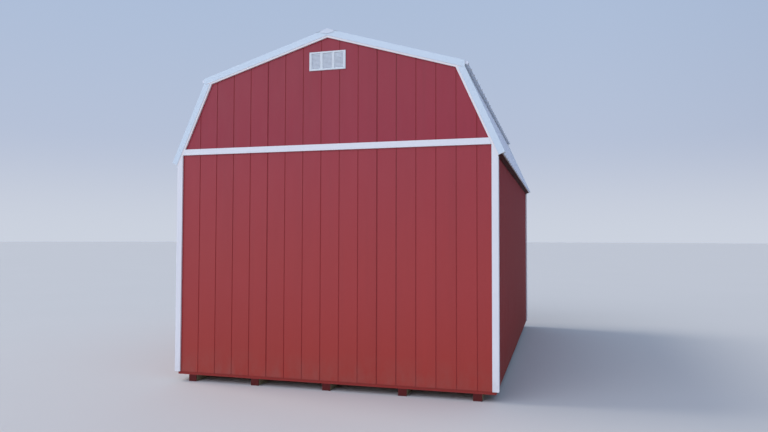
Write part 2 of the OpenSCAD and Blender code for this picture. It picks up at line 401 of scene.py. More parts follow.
def timber(name, painted):
    """Rough sawn treated softwood, grain along Y; painted: red on the ends, darkened as painted shade."""
    g = Graph(name, spec=0.3, color=(0.42, 0.38, 0.26))
    ring = g.noise((26, 1.1, 26), 3, 0.5, 1.6)
    bands = g.math("ABSOLUTE", g.math("SINE", g.math("MULTIPLY", ring, 42.0)))
    fibre = g.noise((300, 7, 300), 4, 0.65)
    blotch = g.noise((3.0, 1.5, 3.0), 4, 0.6)
    col = g.mix(g.remap(bands, 0.1, 0.95), (0.20, 0.165, 0.088), (0.315, 0.28, 0.165))
    col = g.mix(g.remap(blotch, 0.4, 0.72, 0.0, 0.5), col, (0.20, 0.205, 0.125))
    col = g.tint(col, around(g, fibre, 0.5))
    height = g.math("ADD", g.math("MULTIPLY", fibre, 0.7), g.math("MULTIPLY", bands, 0.3))
    if painted:
        edge = g.math("MULTIPLY_ADD", g.noise((40, 40, 40), 4, 0.6), 0.028, HL - SID - 0.024)
        mask = g.math("GREATER_THAN", g.math("ABSOLUTE", g.y), edge)
        # the ends' red is darker than the rim's paint: painted shade under the floor
        red_in_shade = g.tint((0.098, 0.009, 0.008), around(g, g.noise((30, 30, 30), 4, 0.6), 0.45))
        worn = g.remap(g.noise((90, 90, 90), 5, 0.7), 0.60, 0.70, 0.0, 0.55)
        red_in_shade = g.mix(worn, red_in_shade, (0.24, 0.17, 0.12))
        col = g.mix(mask, col, red_in_shade)
    normal = g.bump(height, 0.0022, 0.6)
    return g.finish(col, around(g, blotch, 0.12, 0.78), normal)


def red_timber(name, stretch, base=(0.235, 0.020, 0.018), spec=0.35):
    """Red paint on rough boards and joists."""
    g = Graph(name, spec=spec, color=(0.3, 0.08, 0.08))
    fibre = g.noise(stretch, 5, 0.65, 0.5)
    cloud = g.noise((3.5, 3.5, 3.5), 4, 0.6)
    col = g.tint(base, g.math("ADD", around(g, fibre, 0.30), around(g, cloud, 0.22, 0.0)))
    worn = g.remap(g.noise([s * 0.4 for s in stretch], 5, 0.7), 0.63, 0.74, 0.0, 0.5)
    col = g.mix(worn, col, (0.19, 0.12, 0.085))
    return g.finish(col, around(g, cloud, 0.16, 0.62), g.bump(fibre, 0.0018, 0.55))


def flakeboard(name, base, dark, spec=0.25):
    """Sheathing pressed from long flakes."""
    g = Graph(name, spec=spec, color=base)
    a = g.voronoi((34, 13, 34), out="Color")
    b = g.noise((90, 30, 90), 4, 0.6)
    sep = g.node("ShaderNodeSeparateXYZ")
    g.put(sep.inputs[0], a)
    col = g.mix(g.remap(sep.outputs[0], 0.0, 1.0), base, dark)
    col = g.tint(col, around(g, b, 0.35))
    return g.finish(col, around(g, sep.outputs[1], 0.2, 0.72), g.bump(sep.outputs[0], 0.0012, 0.5))


def foil_face(name):
    """Dull grey foil on the underside of the roof sheathing, stamped with a fine grid of creases."""
    g = Graph(name, rough=0.55, spec=0.4, metal=0.0, color=(0.3, 0.31, 0.33))
    crease = g.voronoi((46, 46, 46), feature="DISTANCE_TO_EDGE")
    cloud = g.noise((5, 5, 5), 4, 0.6)
    col = g.tint((0.70, 0.735, 0.79), g.math("ADD", around(g, cloud, 0.30), around(g, crease, 0.25, 0.0)))
    return g.finish(col, around(g, cloud, 0.2, 0.56), g.bump(crease, 0.001, 0.4))


def moulded(name, base, rough=0.5):
    g = Graph(name, spec=0.42, color=base)
    cloud = g.noise((8, 8, 8), 4, 0.6)
    dirt = g.remap(g.noise((60, 60, 25), 5, 0.65), 0.52, 0.78, 0.0, 0.30)
    col = g.mix(dirt, g.tint(base, around(g, cloud, 0.07)), (0.40, 0.40, 0.40))
    return g.finish(col, around(g, cloud, 0.14, rough), g.bump(g.noise((500, 500, 500), 2, 0.5), 0.0003, 0.35))


RED_X = red_paint("siding_paint_x", "x")
# the side walls take a darker, duller copy of the gable paint: painted shade
RED_Y_SHADED = red_paint("siding_paint_y_shaded", "y", ((0.262, 0.0225, 0.0150), (0.270, 0.0245, 0.0230), (0.264, 0.0215, 0.0280), (0.264, 0.0215, 0.0280)),
                  0.30, 0.88)
STUD = timber("stud_wood", False)
WHITE_Z = white_paint("board_white_upright", "z")
WHITE_X = white_paint("board_white_level", "x")
RAKE_WHITE = white_paint("board_white_rake", "x", (0.83, 0.80, 0.79))
RAKE_METAL = sheet_metal("rake_sheet", (0.635, 0.745, 0.81), 0.36)
ROOF_METAL = sheet_metal("roof_sheet", (0.73, 0.77, 0.845), 0.34)
CAP_METAL = sheet_metal("cap_sheet", (0.64, 0.71, 0.77), 0.36)
SKID = timber("skid_timber", True)
RIM_X = red_timber("rim_paint_x", (5, 160, 160), (0.288, 0.021, 0.014), 0.42)
RIM_Y = red_timber("rim_paint_y", (160, 5, 160), (0.215, 0.018, 0.010), 0.10)
JOIST = timber("joist_timber", False)
# a near-black red on the eave boards: painted shade under the roof's overhang
EAVE_SHADED = red_timber("eave_paint", (160, 4, 160), (0.060, 0.010, 0.009), 0.02)
PLY = flakeboard("floor_flakes", (0.36, 0.23, 0.11), (0.22, 0.13, 0.06))
DECK_EDGE = flakeboard("deck_flakes", (0.50, 0.45, 0.40), (0.34, 0.28, 0.23))
FOIL = foil_face("deck_foil")
EDGE = sheet_metal("drip_edge", (0.72, 0.77, 0.83), 0.40)
CLOSURE = moulded("rib_closure", (0.74, 0.72, 0.69), 0.8)
# the blades take a lighter copy of the frame's plastic: painted light on blades that sit in the frame's shade
VENT_BLADES_LIT = moulded("vent_plastic", (0.79, 0.845, 0.88))
VENT_FRAME = moulded("vent_frame_plastic", (0.707, 0.762, 0.765))
SCREEN = moulded("vent_screen", (0.16, 0.165, 0.175), 0.8)
SCREW = sheet_metal("screw_paint", (0.60, 0.62, 0.65), 0.38)
WASHER = moulded("washer_rubber", (0.05, 0.05, 0.052), 0.7)
NAIL = red_paint("nail_paint", "x", ((0.27, 0.022, 0.015), (0.28, 0.022, 0.023), (0.27, 0.019, 0.029), (0.25, 0.013, 0.029)))
FOAM = moulded("closure_foam", (0.26, 0.265, 0.275), 0.9)


# ---------------------------------------------------------------- siding
GW, GD = 0.0100, 0.0038          # width and depth of a groove
JOINTS_X = (4, 10)


def groove_profile(grooves, joints, half):
    """Breakpoints (position, depth) of the face across the sheets."""
    pts = [(-half, 0.0)]
    for i, g in enumerate(grooves):
        wide = i in joints
        w = 0.0065 if wide else GW / 2
        if g - w < -half or g + w > half:
            continue
        pts += [(g - w, 0.0), (g - w + 0.0010, GD)]
        if wide:   # lap of two sheets: a slit beside the lip
            pts += [(g + 0.0010, GD), (g + 0.00105, 0.0080), (g + 0.0030, 0.0080), (g + 0.00305, GD)]
        pts += [(g + w - 0.0010, GD), (g + w, 0.0)]
    pts.append((half, 0.0))
    return pts


def at(pts, x):
    for (a, da), (b, db) in zip(pts, pts[1:]):
        if a <= x <= b:
            return da + (db - da) * (x - a) / (b - a)
    return 0.0


def siding(build, profile, bottom, top, extra=(), hole=None, thick=SID, place=None, mat=0):
    """A closed grooved sheet. bottom and top give heights at a position, straight between breakpoints.
    hole is (half width, lower edge, upper edge). place puts (position, depth, height) into space."""
    xs = sorted(set([p[0] for p in profile] + list(extra) + ([-hole[0], hole[0]] if hole else [])))
    verts, index = [], {}

    def vid(x, d, z):
        key = (round(x, 6), round(d, 6), round(z, 6))
        if key not in index:
            index[key] = len(verts)
            verts.append(place(x, d, z))
        return index[key]

    faces = []

    def stops(x, lo, hi):
        z = [lo, hi]
        if hole and abs(abs(x) - hole[0]) < 1e-9:
            z += [h for h in hole[1:] if lo + 1e-9 < h < hi - 1e-9]
        return sorted(z)

    def spans(a, b):
        m = (a + b) / 2
        if hole and abs(m) < hole[0]:
            return [(bottom, lambda x: hole[1]), (lambda x: hole[2], top)]
        return [(bottom, top)]

    for a, b in zip(xs, xs[1:]):
        da, db = at(profile, a), at(profile, b)
        for lo, hi in spans(a, b):
            za, zb = stops(a, lo(a), hi(a)), stops(b, lo(b), hi(b))
            for front in (True, False):
                ea, eb = (da, db) if front else (thick, thick)
                loop = [vid(a, ea, z) for z in za] + [vid(b, eb, z) for z in reversed(zb)]
                faces.append(loop if front else loop[::-1])
            faces.append([vid(a, da, za[0]), vid(b, db, zb[0]), vid(b, thick, zb[0]), vid(a, thick, za[0])])
            faces.append([vid(a, da, za[-1]), vid(a, thick, za[-1]), vid(b, thick, zb[-1]), vid(b, db, zb[-1])])
    for x in (xs[0], xs[-1]):
        d = at(profile, x)
        faces.append([vid(x, d, bottom(x)), vid(x, thick, bottom(x)), vid(x, thick, top(x)), vid(x, d, top(x))])
    if hole:
        for x in (-hole[0], hole[0]):
            d = at(profile, x)
            faces.append([vid(x, d, hole[1]), vid(x, thick, hole[1]), vid(x, thick, hole[2]), vid(x, d, hole[2])])
    build.add(verts, faces, mat)


def nail_heads(build, spots, place, r=0.0032, h=0.0009, mat=0, sides=8):
    """Low round heads at (position, height) spots, standing h out of the face."""
    for u, z in spots:
        ring0 = [(u + r * math.cos(t), 0.0003, z + r * math.sin(t)) for t in [2 * math.pi * i / sides for i in range(sides)]]
        ring1 = [(u + 0.7 * (p[0] - u), -h, z + 0.7 * (p[2] - z)) for p in ring0]
        v = [place(*p) for p in ring0 + ring1]
        f = [tuple(range(sides)), tuple(range(2 * sides - 1, sides - 1, -1))]
        f += [(i, sides + i, sides + (i + 1) % sides, (i + 1) % sides) for i in range(sides)]
        build.add(v, f, mat)


GROOVES_X = [GROOVE_0 + PITCH * i for i in range(16)]
PROFILE_X = groove_profile(GROOVES_X, JOINTS_X, HW)
SIDE_HALF = HL - WALL
GROOVES_Y = [PITCH * (i - 12.5) for i in range(26)]   # sheets laid from the corner
PROFILE_Y = groove_profile(GROOVES_Y, (5, 11, 17, 23), SIDE_HALF)
K_IN = meet(-RT, -RT)


def wall_top(x):
    x = abs(x)
    return JOINT if x <= JOINT_X else JOINT + (SIDE_Z - JOINT) * (x - JOINT_X) / (HW - JOINT_X)


def gable_top(x):
    x = abs(x)
    return zu(-RT, x) if x <= K_IN[0] else zl(-RT, x)


def stud_frame(build, edges, top, place, cut=0.0, depth0=SID, depth1=WALL, z0=DECK, step=0.4064, hole=None):
    """Bottom plate and studs behind the siding; the plate's ends slope in by cut."""
    a, b = edges
    t = 0.038
    build.prism([(a, z0), (b, z0), (b - cut, z0 + t), (a + cut, z0 + t)], lambda u, z: place(u, depth0, z), lambda u, z: place(u, depth1, z))
    n = max(1, round((b - a - t) / step))
    us = [a + (b - a - t) * i / n for i in range(n + 1)]
    for u in us:
        if hole and u + t > -hole[0] - 0.001 and u < hole[0] + 0.001:
            continue
        zb = z0 + t
        zt = (top(u) - 0.002, top(u + t) - 0.002)
        if min(zt) - zb < 0.05:
            continue
        build.prism([(u, zb), (u + t, zb), (u + t, zt[1]), (u, zt[0])],
                    lambda p, z: place(p, depth0, z), lambda p, z: place(p, depth1, z))


def end_place(x, d, z):
    return (x, -HL + d, z)


def side_place(y, d, z):
    return (HW - d, y, z)


ENDS = (("front", 1), ("back", -1))
SIDES = (("left", -1), ("right", 1))

for end, sy in ENDS:
    # lower sheets
    b = Build()
    siding(b, PROFILE_X, lambda x: LAP, wall_top, (-JOINT_X, JOINT_X), place=end_place)
    for x0, x1 in ((-HW, -HW + SID), (HW - SID, HW)):     # side sheets run on to the corner over the end studs
        b.box((x0, -HL + SID, LAP), (x1, -HL + WALL, SIDE_Z), 1)
    s = Build()
    stud_frame(s, (-HW + SID, HW - SID), wall_top, end_place)
    b.mirrored(1, sy).make(f"siding_{end}", [RED_X, RED_Y_SHADED], "red_siding", f"{end}_wall")
    s.mirrored(1, sy).make(f"studs_{end}", [STUD], "treated_timber", bevel=0.002)
    # gable sheets
    b = Build()
    hole = (VENT_W / 2 - 0.0220, VENT_Z - VENT_H / 2 + 0.0145, VENT_Z + VENT_H / 2 - 0.0145)
    siding(b, [p for p in PROFILE_X if abs(p[0]) < JOINT_X] and groove_profile(GROOVES_X, JOINTS_X, JOINT_X),
           lambda x: JOINT, gable_top, (-K_IN[0], 0.0, K_IN[0]), hole, place=end_place)
    s = Build()
    stud_frame(s, (-JOINT_X + 0.001, JOINT_X - 0.001), gable_top, end_place, 0.038 / RL, z0=JOINT, hole=hole)
    for k in (-1, 1):     # posts beside the vent, and a sill and a head for it
        u0, u1 = sorted((k * (hole[0] + 0.001), k * (hole[0] + 0.039)))
        s.prism([(u0, JOINT + 0.038), (u1, JOINT + 0.038), (u1, gable_top(u1) - 0.002), (u0, gable_top(u0) - 0.002)],
                lambda p, z: end_place(p, SID, z), lambda p, z: end_place(p, WALL, z))
    for z0, z1 in ((hole[1] - 0.039, hole[1] - 0.001), (hole[2] + 0.001, hole[2] + 0.039)):
        s.prism([(-hole[0], z0), (hole[0], z0), (hole[0], z1), (-hole[0], z1)],
                lambda p, z: end_place(p, SID, z), lambda p, z: end_place(p, WALL, z))
    b.mirrored(1, sy).make(f"siding_gable_{end}", [RED_X], "red_siding", f"{end}_gable")
    s.mirrored(1, sy).make(f"studs_gable_{end}", [STUD], "treated_timber", bevel=0.002)
    # nail heads beside the sheet joints and over the studs
    spots = []
    for g_i, g in enumerate(GROOVES_X):
        step = 0.152 if g_i in JOINTS_X else 0.305
        if g_i % 2 == 0 or g_i in JOINTS_X:
            for du in ((-0.013, 0.016) if g_i in JOINTS_X else (0.011,)):
                z = LAP + 0.03
                while z < gable_top(abs(g) + 0.05) - 0.10:
                    u = g + du + rnd.uniform(-0.002, 0.002)
                    zz = z + rnd.uniform(-0.006, 0.006)
                    clear = not (abs(u) < VENT_W / 2 + 0.01 and abs(zz - VENT_Z) < VENT_H / 2 + 0.01)
                    if clear and not FOOT + 2.405 < zz < FOOT + 2.488:
                        spots.append((u, zz))
                    z += step
    b = Build()
    nail_heads(b, spots, end_place)
    b.mirrored(1, sy).make(f"siding_nails_{end}", [NAIL], "red_siding", smooth=40)

for side, sx in SIDES:
    b = Build()
    siding(b, PROFILE_Y, lambda y: LAP, lambda y: SIDE_Z, place=side_place)
    s = Build()
    stud_frame(s, (-SIDE_HALF, SIDE_HALF), lambda u: SIDE_Z, side_place)
    # top plate, cut to the slope of the roof
    s.prism([(HW - SID, SIDE_Z - 0.076), (HW - SID, zl(-RT, HW - SID) - 0.001), (HW - WALL, zl(-RT, HW - WALL) - 0.001), (HW - WALL, SIDE_Z - 0.076)],
            lambda x, z: (x, -SIDE_HALF, z), lambda x, z: (x, SIDE_HALF, z))
    b.mirrored(sx, 1).make(f"siding_{side}", [RED_Y_SHADED], "red_siding", f"{side}_wall")
    s.mirrored(sx, 1).make(f"studs_{side}", [STUD], "treated_timber", bevel=0.002)
    spots = []
    for g_i, g in enumerate(GROOVES_Y):
        joint = g_i in (5, 11, 17, 23)
        if g_i % 2 == 1 or joint:
            for du in ((-0.013, 0.016) if joint else (0.011,)):
                z = LAP + 0.03
                while z < SIDE_Z - 0.12:
                    spots.append((g + du + rnd.uniform(-0.002, 0.002), z + rnd.uniform(-0.006, 0.006)))
                    z += 0.152 if joint else 0.305
    b = Build()
    nail_heads(b, spots, side_place)
    b.mirrored(sx, 1).make(f"siding_nails_{side}", [NAIL], "red_siding", smooth=40)


# ---------------------------------------------------------------- boards that keep the CAD's shape
def dress(name, mat, bevel=0.0015, segments=2):
    ob = node[name]
    ob.data.materials.clear()
    ob.data.materials.append(mat)
    if bevel:
        add_bevel(ob, bevel, segments)


for end, _ in ENDS:
    dress(f"{end}_band", WHITE_X)
    for side, _ in SIDES:
        dress(f"{end}_trim_{side}", WHITE_Z)
        dress(f"side_trim_{end}_{side}", WHITE_Z)
    dress(f"rim_joist_{end}", RIM_X, 0.003)
for side, _ in SIDES:
    dress(f"rim_joist_{side}", RIM_Y, 0.003)
    dress(f"eave_board_{side}", EAVE_SHADED, 0.002)
for i in range(1, 6):
    dress(f"skid_{i}", SKID, 0.004, 3)
dress("floor_joists", JOIST, 0.003)
dress("floor_deck", PLY, 0.0)


# ---------------------------------------------------------------- rakes
def sweep(build, outline, end0, end1, mat=0):
    """Closed sweep of an outline drawn as (u, n): u out of the gable's siding, n out of the roof.
    end0 and end1 give (x, z) of line n at the two ends."""
    build.prism(outline, lambda u, n: (end0(n)[0], -HL - u, end0(n)[1]), lambda u, n: (end1(n)[0], -HL - u, end1(n)[1]), mat)


P_X, P_Z = RX, zl(0, RX)


def cut_low(n):
    """Line n of the lower slope on the joint under the upper rake."""
    d = (P_Z - KZ) / (P_X - KX)
    x = (KZ + (RW + n) / CL + RL * KX - KZ + d * KX) / (RL + d)
    return x, KZ + d * (x - KX)


METAL = thin([(-0.0735, -0.0165), (-0.0735, 0.0032), (0.0200, 0.0032), (0.0216, 0.0018), (0.0216, -0.0570),
              (0.0228, -0.0592), (0.0228, -0.0612), (0.0205, -0.0618), (0.0203, -0.0580)], 0.0011)
BOARD = [(0.0, -RW), (TT, -RW), (TT, -0.001), (0.0, -0.001)]


def upper0(n):
    return 0.0, zu(n, 0.0)


def upper1(n):
    return RX, zu(n, RX)


def lower1(n):
    return eave(n, 0.0)


for end, sy in ENDS:
    for side, sx in SIDES:
        for part, e0, e1, node_name in (("upper", upper0, upper1, f"{end}_rake_upper_{side}"),
                                        ("lower", cut_low, lower1, f"{end}_rake_lower_{side}")):
            b = Build()
            if part == "upper":
                # the board's end is cut to the knuckle's joint, then plumb
                out = [(0.0, zu(-RW, 0)), (KX, KZ), (P_X, P_Z), (P_X, zu(-0.001, P_X)), (0.0, zu(-0.001, 0))]
                b.prism(out, lambda x, z: (x, -HL, z), lambda x, z: (x, -HL - TT, z))
            else:
                sweep(b, BOARD, e0, e1)
            b.mirrored(sx, sy).make(f"rake_board_{end}_{part}_{side}", [RAKE_WHITE], "rake_trim", node_name, bevel=0.0012)
            b = Build()
            sweep(b, METAL, e0, e1)
            b.mirrored(sx, sy).make(f"rake_metal_{end}_{part}_{side}", [RAKE_METAL], "rake_trim", smooth=25)


# ---------------------------------------------------------------- fasteners with washers
def screw(build, at_, nrm, tangent, head=0, rubber=1, size=1.0):
    """Hex head on a steel and rubber washer at a point, along a normal."""
    nrm = Vector(nrm).normalized()
    t = Vector(tangent).normalized()
    u = nrm.cross(t).normalized()
    o = Vector(at_)

    def disc(sides, r0, r1, h0, h1, mat, turn=0.0):
        r0, r1, h1 = r0 * size, r1 * size, h1 * size
        a = [turn + 2 * math.pi * i / sides for i in range(sides)]
        lo = [o + nrm * h0 + (t * math.cos(k) + u * math.sin(k)) * r0 for k in a]
        hi = [o + nrm * h1 + (t * math.cos(k) + u * math.sin(k)) * r1 for k in a]
        f = [tuple(range(sides))[::-1], tuple(range(sides, 2 * sides))]
        f += [(i, (i + 1) % sides, sides + (i + 1) % sides, sides + i) for i in range(sides)]
        build.add(lo + hi, f, mat)

    disc(10, 0.0078, 0.0078, -0.0004, 0.0012, rubber)
    disc(10, 0.0072, 0.0058, 0.0012, 0.0024, head)
    disc(6, 0.0040, 0.0037, 0.0024, 0.0068, head, rnd.uniform(0, 1.0))


# rake trims: screws through the face
for end, sy in ENDS:
    for side, sx in SIDES:
        b = Build()
        for e0, e1, count in ((upper0, upper1, 4), (cut_low, lower1, 3)):
            n = -0.030
            a, c = e0(n), e1(n)
            for i in range(count):
                k = (i + 0.5) / count
                screw(b, (a[0] + (c[0] - a[0]) * k, -HL - 0.0216, a[1] + (c[1] - a[1]) * k), (0, -1, 0), (1, 0, 0), 0, 0, 0.55)
        b.mirrored(sx, sy).make(f"rake_screws_{end}_{side}", [RAKE_METAL, WASHER], "rake_trim", smooth=35)


# ---------------------------------------------------------------- roof
RIBS = 24
RIB_STEP = (2 * HL - 0.064) / RIBS
PAN = -0.0190


def rib_line():
    """Outer face of the ribbed sheet across the roof: (y, n)."""
    pts = [(-HL, PAN + 0.0010)]
    for i in range(RIBS + 1):
        c = -HL + 0.032 + i * RIB_STEP
        lap = i % 4 == 0 and 0 < i < RIBS
        top = -0.0002 if lap else -0.0012
        a, w = 0.0300, 0.0105
        first, last = i == 0, i == RIBS
        pts += [(c - a if not first else -HL + 0.001, PAN), (c - w - 0.0035, top - 0.0045), (c - w, top - 0.0008), (c - w + 0.0025, top),
                (c + w - 0.0025, top), (c + w, top - 0.0008), (c + w + 0.0035, top - 0.0045)]
        if lap:   # edge of the overlapping sheet
            pts += [(c + a - 0.0030, PAN + 0.0022), (c + a - 0.0016, PAN + 0.0012), (c + a - 0.0012, PAN + 0.0002)]
        pts += [(c + a if not last else HL - 0.001, PAN)]
        if not last:
            for k in (1, 2):
                m = c + RIB_STEP * k / 3
                pts += [(m - 0.012, PAN), (m - 0.006, PAN + 0.0038), (m + 0.006, PAN + 0.0038), (m + 0.012, PAN)]
    pts.append((HL, PAN + 0.0010))
    return pts


RIB_LINE = rib_line()
RIB_LINE = [p for i, p in enumerate(RIB_LINE) if i == 0 or p[0] > RIB_LINE[i - 1][0] + 1e-6]
SHEET = 0.0011


def ribbed(build, top_end, low_end, parts=6):
    """Ribbed sheet between two ends that give (x, z) of line n, bent from one strip of faces."""
    line = RIB_LINE
    cols = len(line)
    verts, faces = [], []
    for layer, dn in ((0, 0.0), (1, -SHEET)):
        for j in range(parts + 1):
            k = j / parts
            for y, n in line:
                a, c = top_end(n + dn), low_end(n + dn)
                verts.append((a[0] + (c[0] - a[0]) * k, y, a[1] + (c[1] - a[1]) * k))
    rows = parts + 1

    def v(layer, j, i):
        return (layer * rows + j) * cols + i

    for j in range(parts):
        for i in range(cols - 1):
            faces.append((v(0, j, i), v(0, j, i + 1), v(0, j + 1, i + 1), v(0, j + 1, i)))
            faces.append((v(1, j, i), v(1, j + 1, i), v(1, j + 1, i + 1), v(1, j, i + 1)))
        for i in (0, cols - 1):
            faces.append((v(0, j, i), v(0, j + 1, i), v(1, j + 1, i), v(1, j, i)))
    for i in range(cols - 1):
        for j in (0, parts):
            faces.append((v(0, j, i), v(0, j, i + 1), v(1, j, i + 1), v(1, j, i)))
    build.add(verts, faces)


def low_top(n):
    return meet(n, -RT)


DECK_TOP = PAN - SHEET - 0.0002
for side, sx in SIDES:
    b = Build()
    ribbed(b, upper0, lambda n: tip(n, -0.0005))
    b.mirrored(sx, 1).make(f"roof_sheet_upper_{side}", [ROOF_METAL], "roof_metal", f"roof_upper_{side}", smooth=22)
    b = Build()
    ribbed(b, low_top, lower1)
    b.mirrored(sx, 1).make(f"roof_sheet_lower_{side}", [ROOF_METAL], "roof_metal", f"roof_lower_{side}", smooth=22)
    # sheathing: flakes with a grey foil face underneath
    for part, e0, e1 in (("upper", lambda n: (0.0, zu(n, 0.0)), lambda n: tip(n, -0.0130)),
                         ("lower", low_top, lambda n: eave(n, -0.0045))):
        b = Build()
        up = 0.0008 if part == "upper" else 0.0
        for (n0, n1), m in (((-RT + up + 0.0006, DECK_TOP), 0), ((-RT + up, -RT + up + 0.0006), 1)):
            q = [e0(n0), e1(n0), e1(n1), e0(n1)]
            b.prism(q, lambda x, z: (x, -HL, z), lambda x, z: (x, HL, z), m)
        b.mirrored(sx, 1).make(f"roof_deck_{part}_{side}", [DECK_EDGE, FOIL], "roof_metal")
    # folded metal over the sheathing's edge along the overhang, and closed ends under the ribs' ends
    b = Build()
    ch = [(-0.0126, DECK_TOP), (-0.0116, DECK_TOP), (-0.0108, -RT + 0.0012), (-0.0090, -RT + 0.0004), (-0.0094, -RT), (-0.0240, -RT), (-0.0240, -RT + 0.0006), (-0.0126, -RT + 0.0006)]
    b.prism(ch, lambda q, n: (tip(n, q)[0], -HL, tip(n, q)[1]), lambda q, n: (tip(n, q)[0], HL, tip(n, q)[1]))
    for y0, y1 in ((-HL - 0.0014, -HL - 0.0002), (HL + 0.0002, HL + 0.0014)):
        plate = [tip(-RT, -0.045), tip(-RT, -0.0006), tip(-0.0005, -0.0006), tip(-0.0005, -0.045)]
        b.prism(plate, lambda x, z, y=y0: (x, y, z), lambda x, z, y=y1: (x, y, z))
    b.mirrored(sx, 1).make(f"roof_edge_upper_{side}", [EDGE], "roof_metal", smooth=25)
    b = Build()
    for i in range(RIBS + 1):
        c = -HL + 0.032 + i * RIB_STEP
        rib = [(c - 0.0275, PAN - 0.0004), (c + 0.0275, PAN - 0.0004), (c + 0.0125, -0.0070), (c + 0.0095, -0.0030), (c - 0.0095, -0.0030), (c - 0.0125, -0.0070)]
        for e in (tip, eave):
            b.prism(rib, lambda y, n, e=e: (e(n, -0.0040)[0], y, e(n, -0.0040)[1]), lambda y, n, e=e: (e(n, -0.0260)[0], y, e(n, -0.0260)[1]))
    b.mirrored(sx, 1).make(f"roof_closures_{side}", [CLOSURE], "roof_metal", smooth=30)
    # screws on the flats beside the ribs
    b = Build()
    rows_up = (0.16, 0.55, 0.95, 1.33, 1.515)
    rows_low = (0.055, 0.42, 0.78, 0.93)
    for (a, c, rows) in ((upper0(PAN), tip(PAN), rows_up), (low_top(PAN), eave(PAN, 0.0), rows_low)):
        d = math.hypot(c[0] - a[0], c[1] - a[1])
        dx, dz = (c[0] - a[0]) / d, (c[1] - a[1]) / d
        for s in rows:
            for i in range(RIBS):
                y = -HL + 0.032 + i * RIB_STEP + 0.040 + rnd.uniform(-0.002, 0.002)
                if i == 0:
                    continue
                q = s + rnd.uniform(-0.004, 0.004)
                screw(b, (a[0] + dx * q, y, a[1] + dz * q), (-dz, 0, dx), (0, 1, 0))
    b.mirrored(sx, 1).make(f"roof_screws_{side}", [SCREW, WASHER], "roof_metal", smooth=35)


# ---------------------------------------------------------------- ridge cap
def cap_point(x, n):
    return x, zu(n, abs(x))


Y1 = HL + TT + SKIN_T
HI = SKIN_T + CAP_T
cap = Build()
half = [(0.0, HI - 0.0002), (0.006, HI - 0.0012), (0.013, HI - 0.0036), (0.060, HI - 0.0030), (CAP_W - 0.006, HI - 0.0032),
        (CAP_W - 0.001, HI - 0.0042), (CAP_W, HI - 0.0060), (CAP_W - 0.002, 0.0012)]
left = [cap_point(-x, n) for x, n in reversed(half[1:])]
right = [cap_point(x, n) for x, n in half]
outline = thin(left + right, 0.0011)
cap.prism(outline, lambda x, z: (x, -Y1 - TAB_T + 0.0009, z), lambda x, z: (x, Y1 + TAB_T - 0.0009, z))
for s in (-1, 1):
    tab = [(-TAB_W, zu(-0.010, TAB_W)), (-TAB_W * 0.55, zu(-0.028, TAB_W * 0.55)), (0.0, zu(-TAB_D, 0)), (TAB_W * 0.55, zu(-0.028, TAB_W * 0.55)),
           (TAB_W, zu(-0.010, TAB_W)), (TAB_W, zu(HI - 0.0040, TAB_W)), (0.0, zu(HI - 0.0012, 0)), (-TAB_W, zu(HI - 0.0040, TAB_W))]
    y0, y1 = sorted((s * (Y1 + TAB_T), s * (Y1 + TAB_T - 0.0014)))
    cap.prism(tab, lambda x, z, y=y0: (x, y, z), lambda x, z, y=y1: (x, y, z))
    w = CAP_W - 0.004
    lip = [(-w, zu(0.0034, w)), (0.0, zu(0.0034, 0)), (w, zu(0.0034, w)), (w, zu(HI - 0.0040, w)), (0.0, zu(HI - 0.0012, 0)), (-w, zu(HI - 0.0040, w))]
    y0, y1 = sorted((s * (Y1 + TAB_T - 0.0016), s * (Y1 + TAB_T - 0.0028)))
    cap.prism(lip, lambda x, z, y=y0: (x, y, z), lambda x, z, y=y1: (x, y, z))
cap.make("ridge_cap_sheet", [CAP_METAL], "roof_metal", "ridge_cap", smooth=25)
closure = Build()
for s in (-1, 1):
    xs = sorted((s * 0.088, s * 0.108))
    q = [cap_point(xs[0], PAN + 0.0006), cap_point(xs[1], PAN + 0.0006), cap_point(xs[1], HI - 0.0048), cap_point(xs[0], HI - 0.0048)]
    closure.prism(q, lambda x, z: (x, -HL + 0.072, z), lambda x, z: (x, HL - 0.072, z))
closure.make("ridge_closure_foam", [FOAM], "roof_metal")
b = Build()
for s in (-1, 1):
    for i in range(1, RIBS):
        if i % 2:
            continue
        y = -HL + 0.032 + i * RIB_STEP
        x = 0.095
        p = (s * x, y, zu(HI - 0.0031, x))
        screw(b, p, (s * SU, 0, CU), (0, 1, 0))
b.make("ridge_cap_screws", [SCREW, WASHER], "roof_metal", smooth=35)


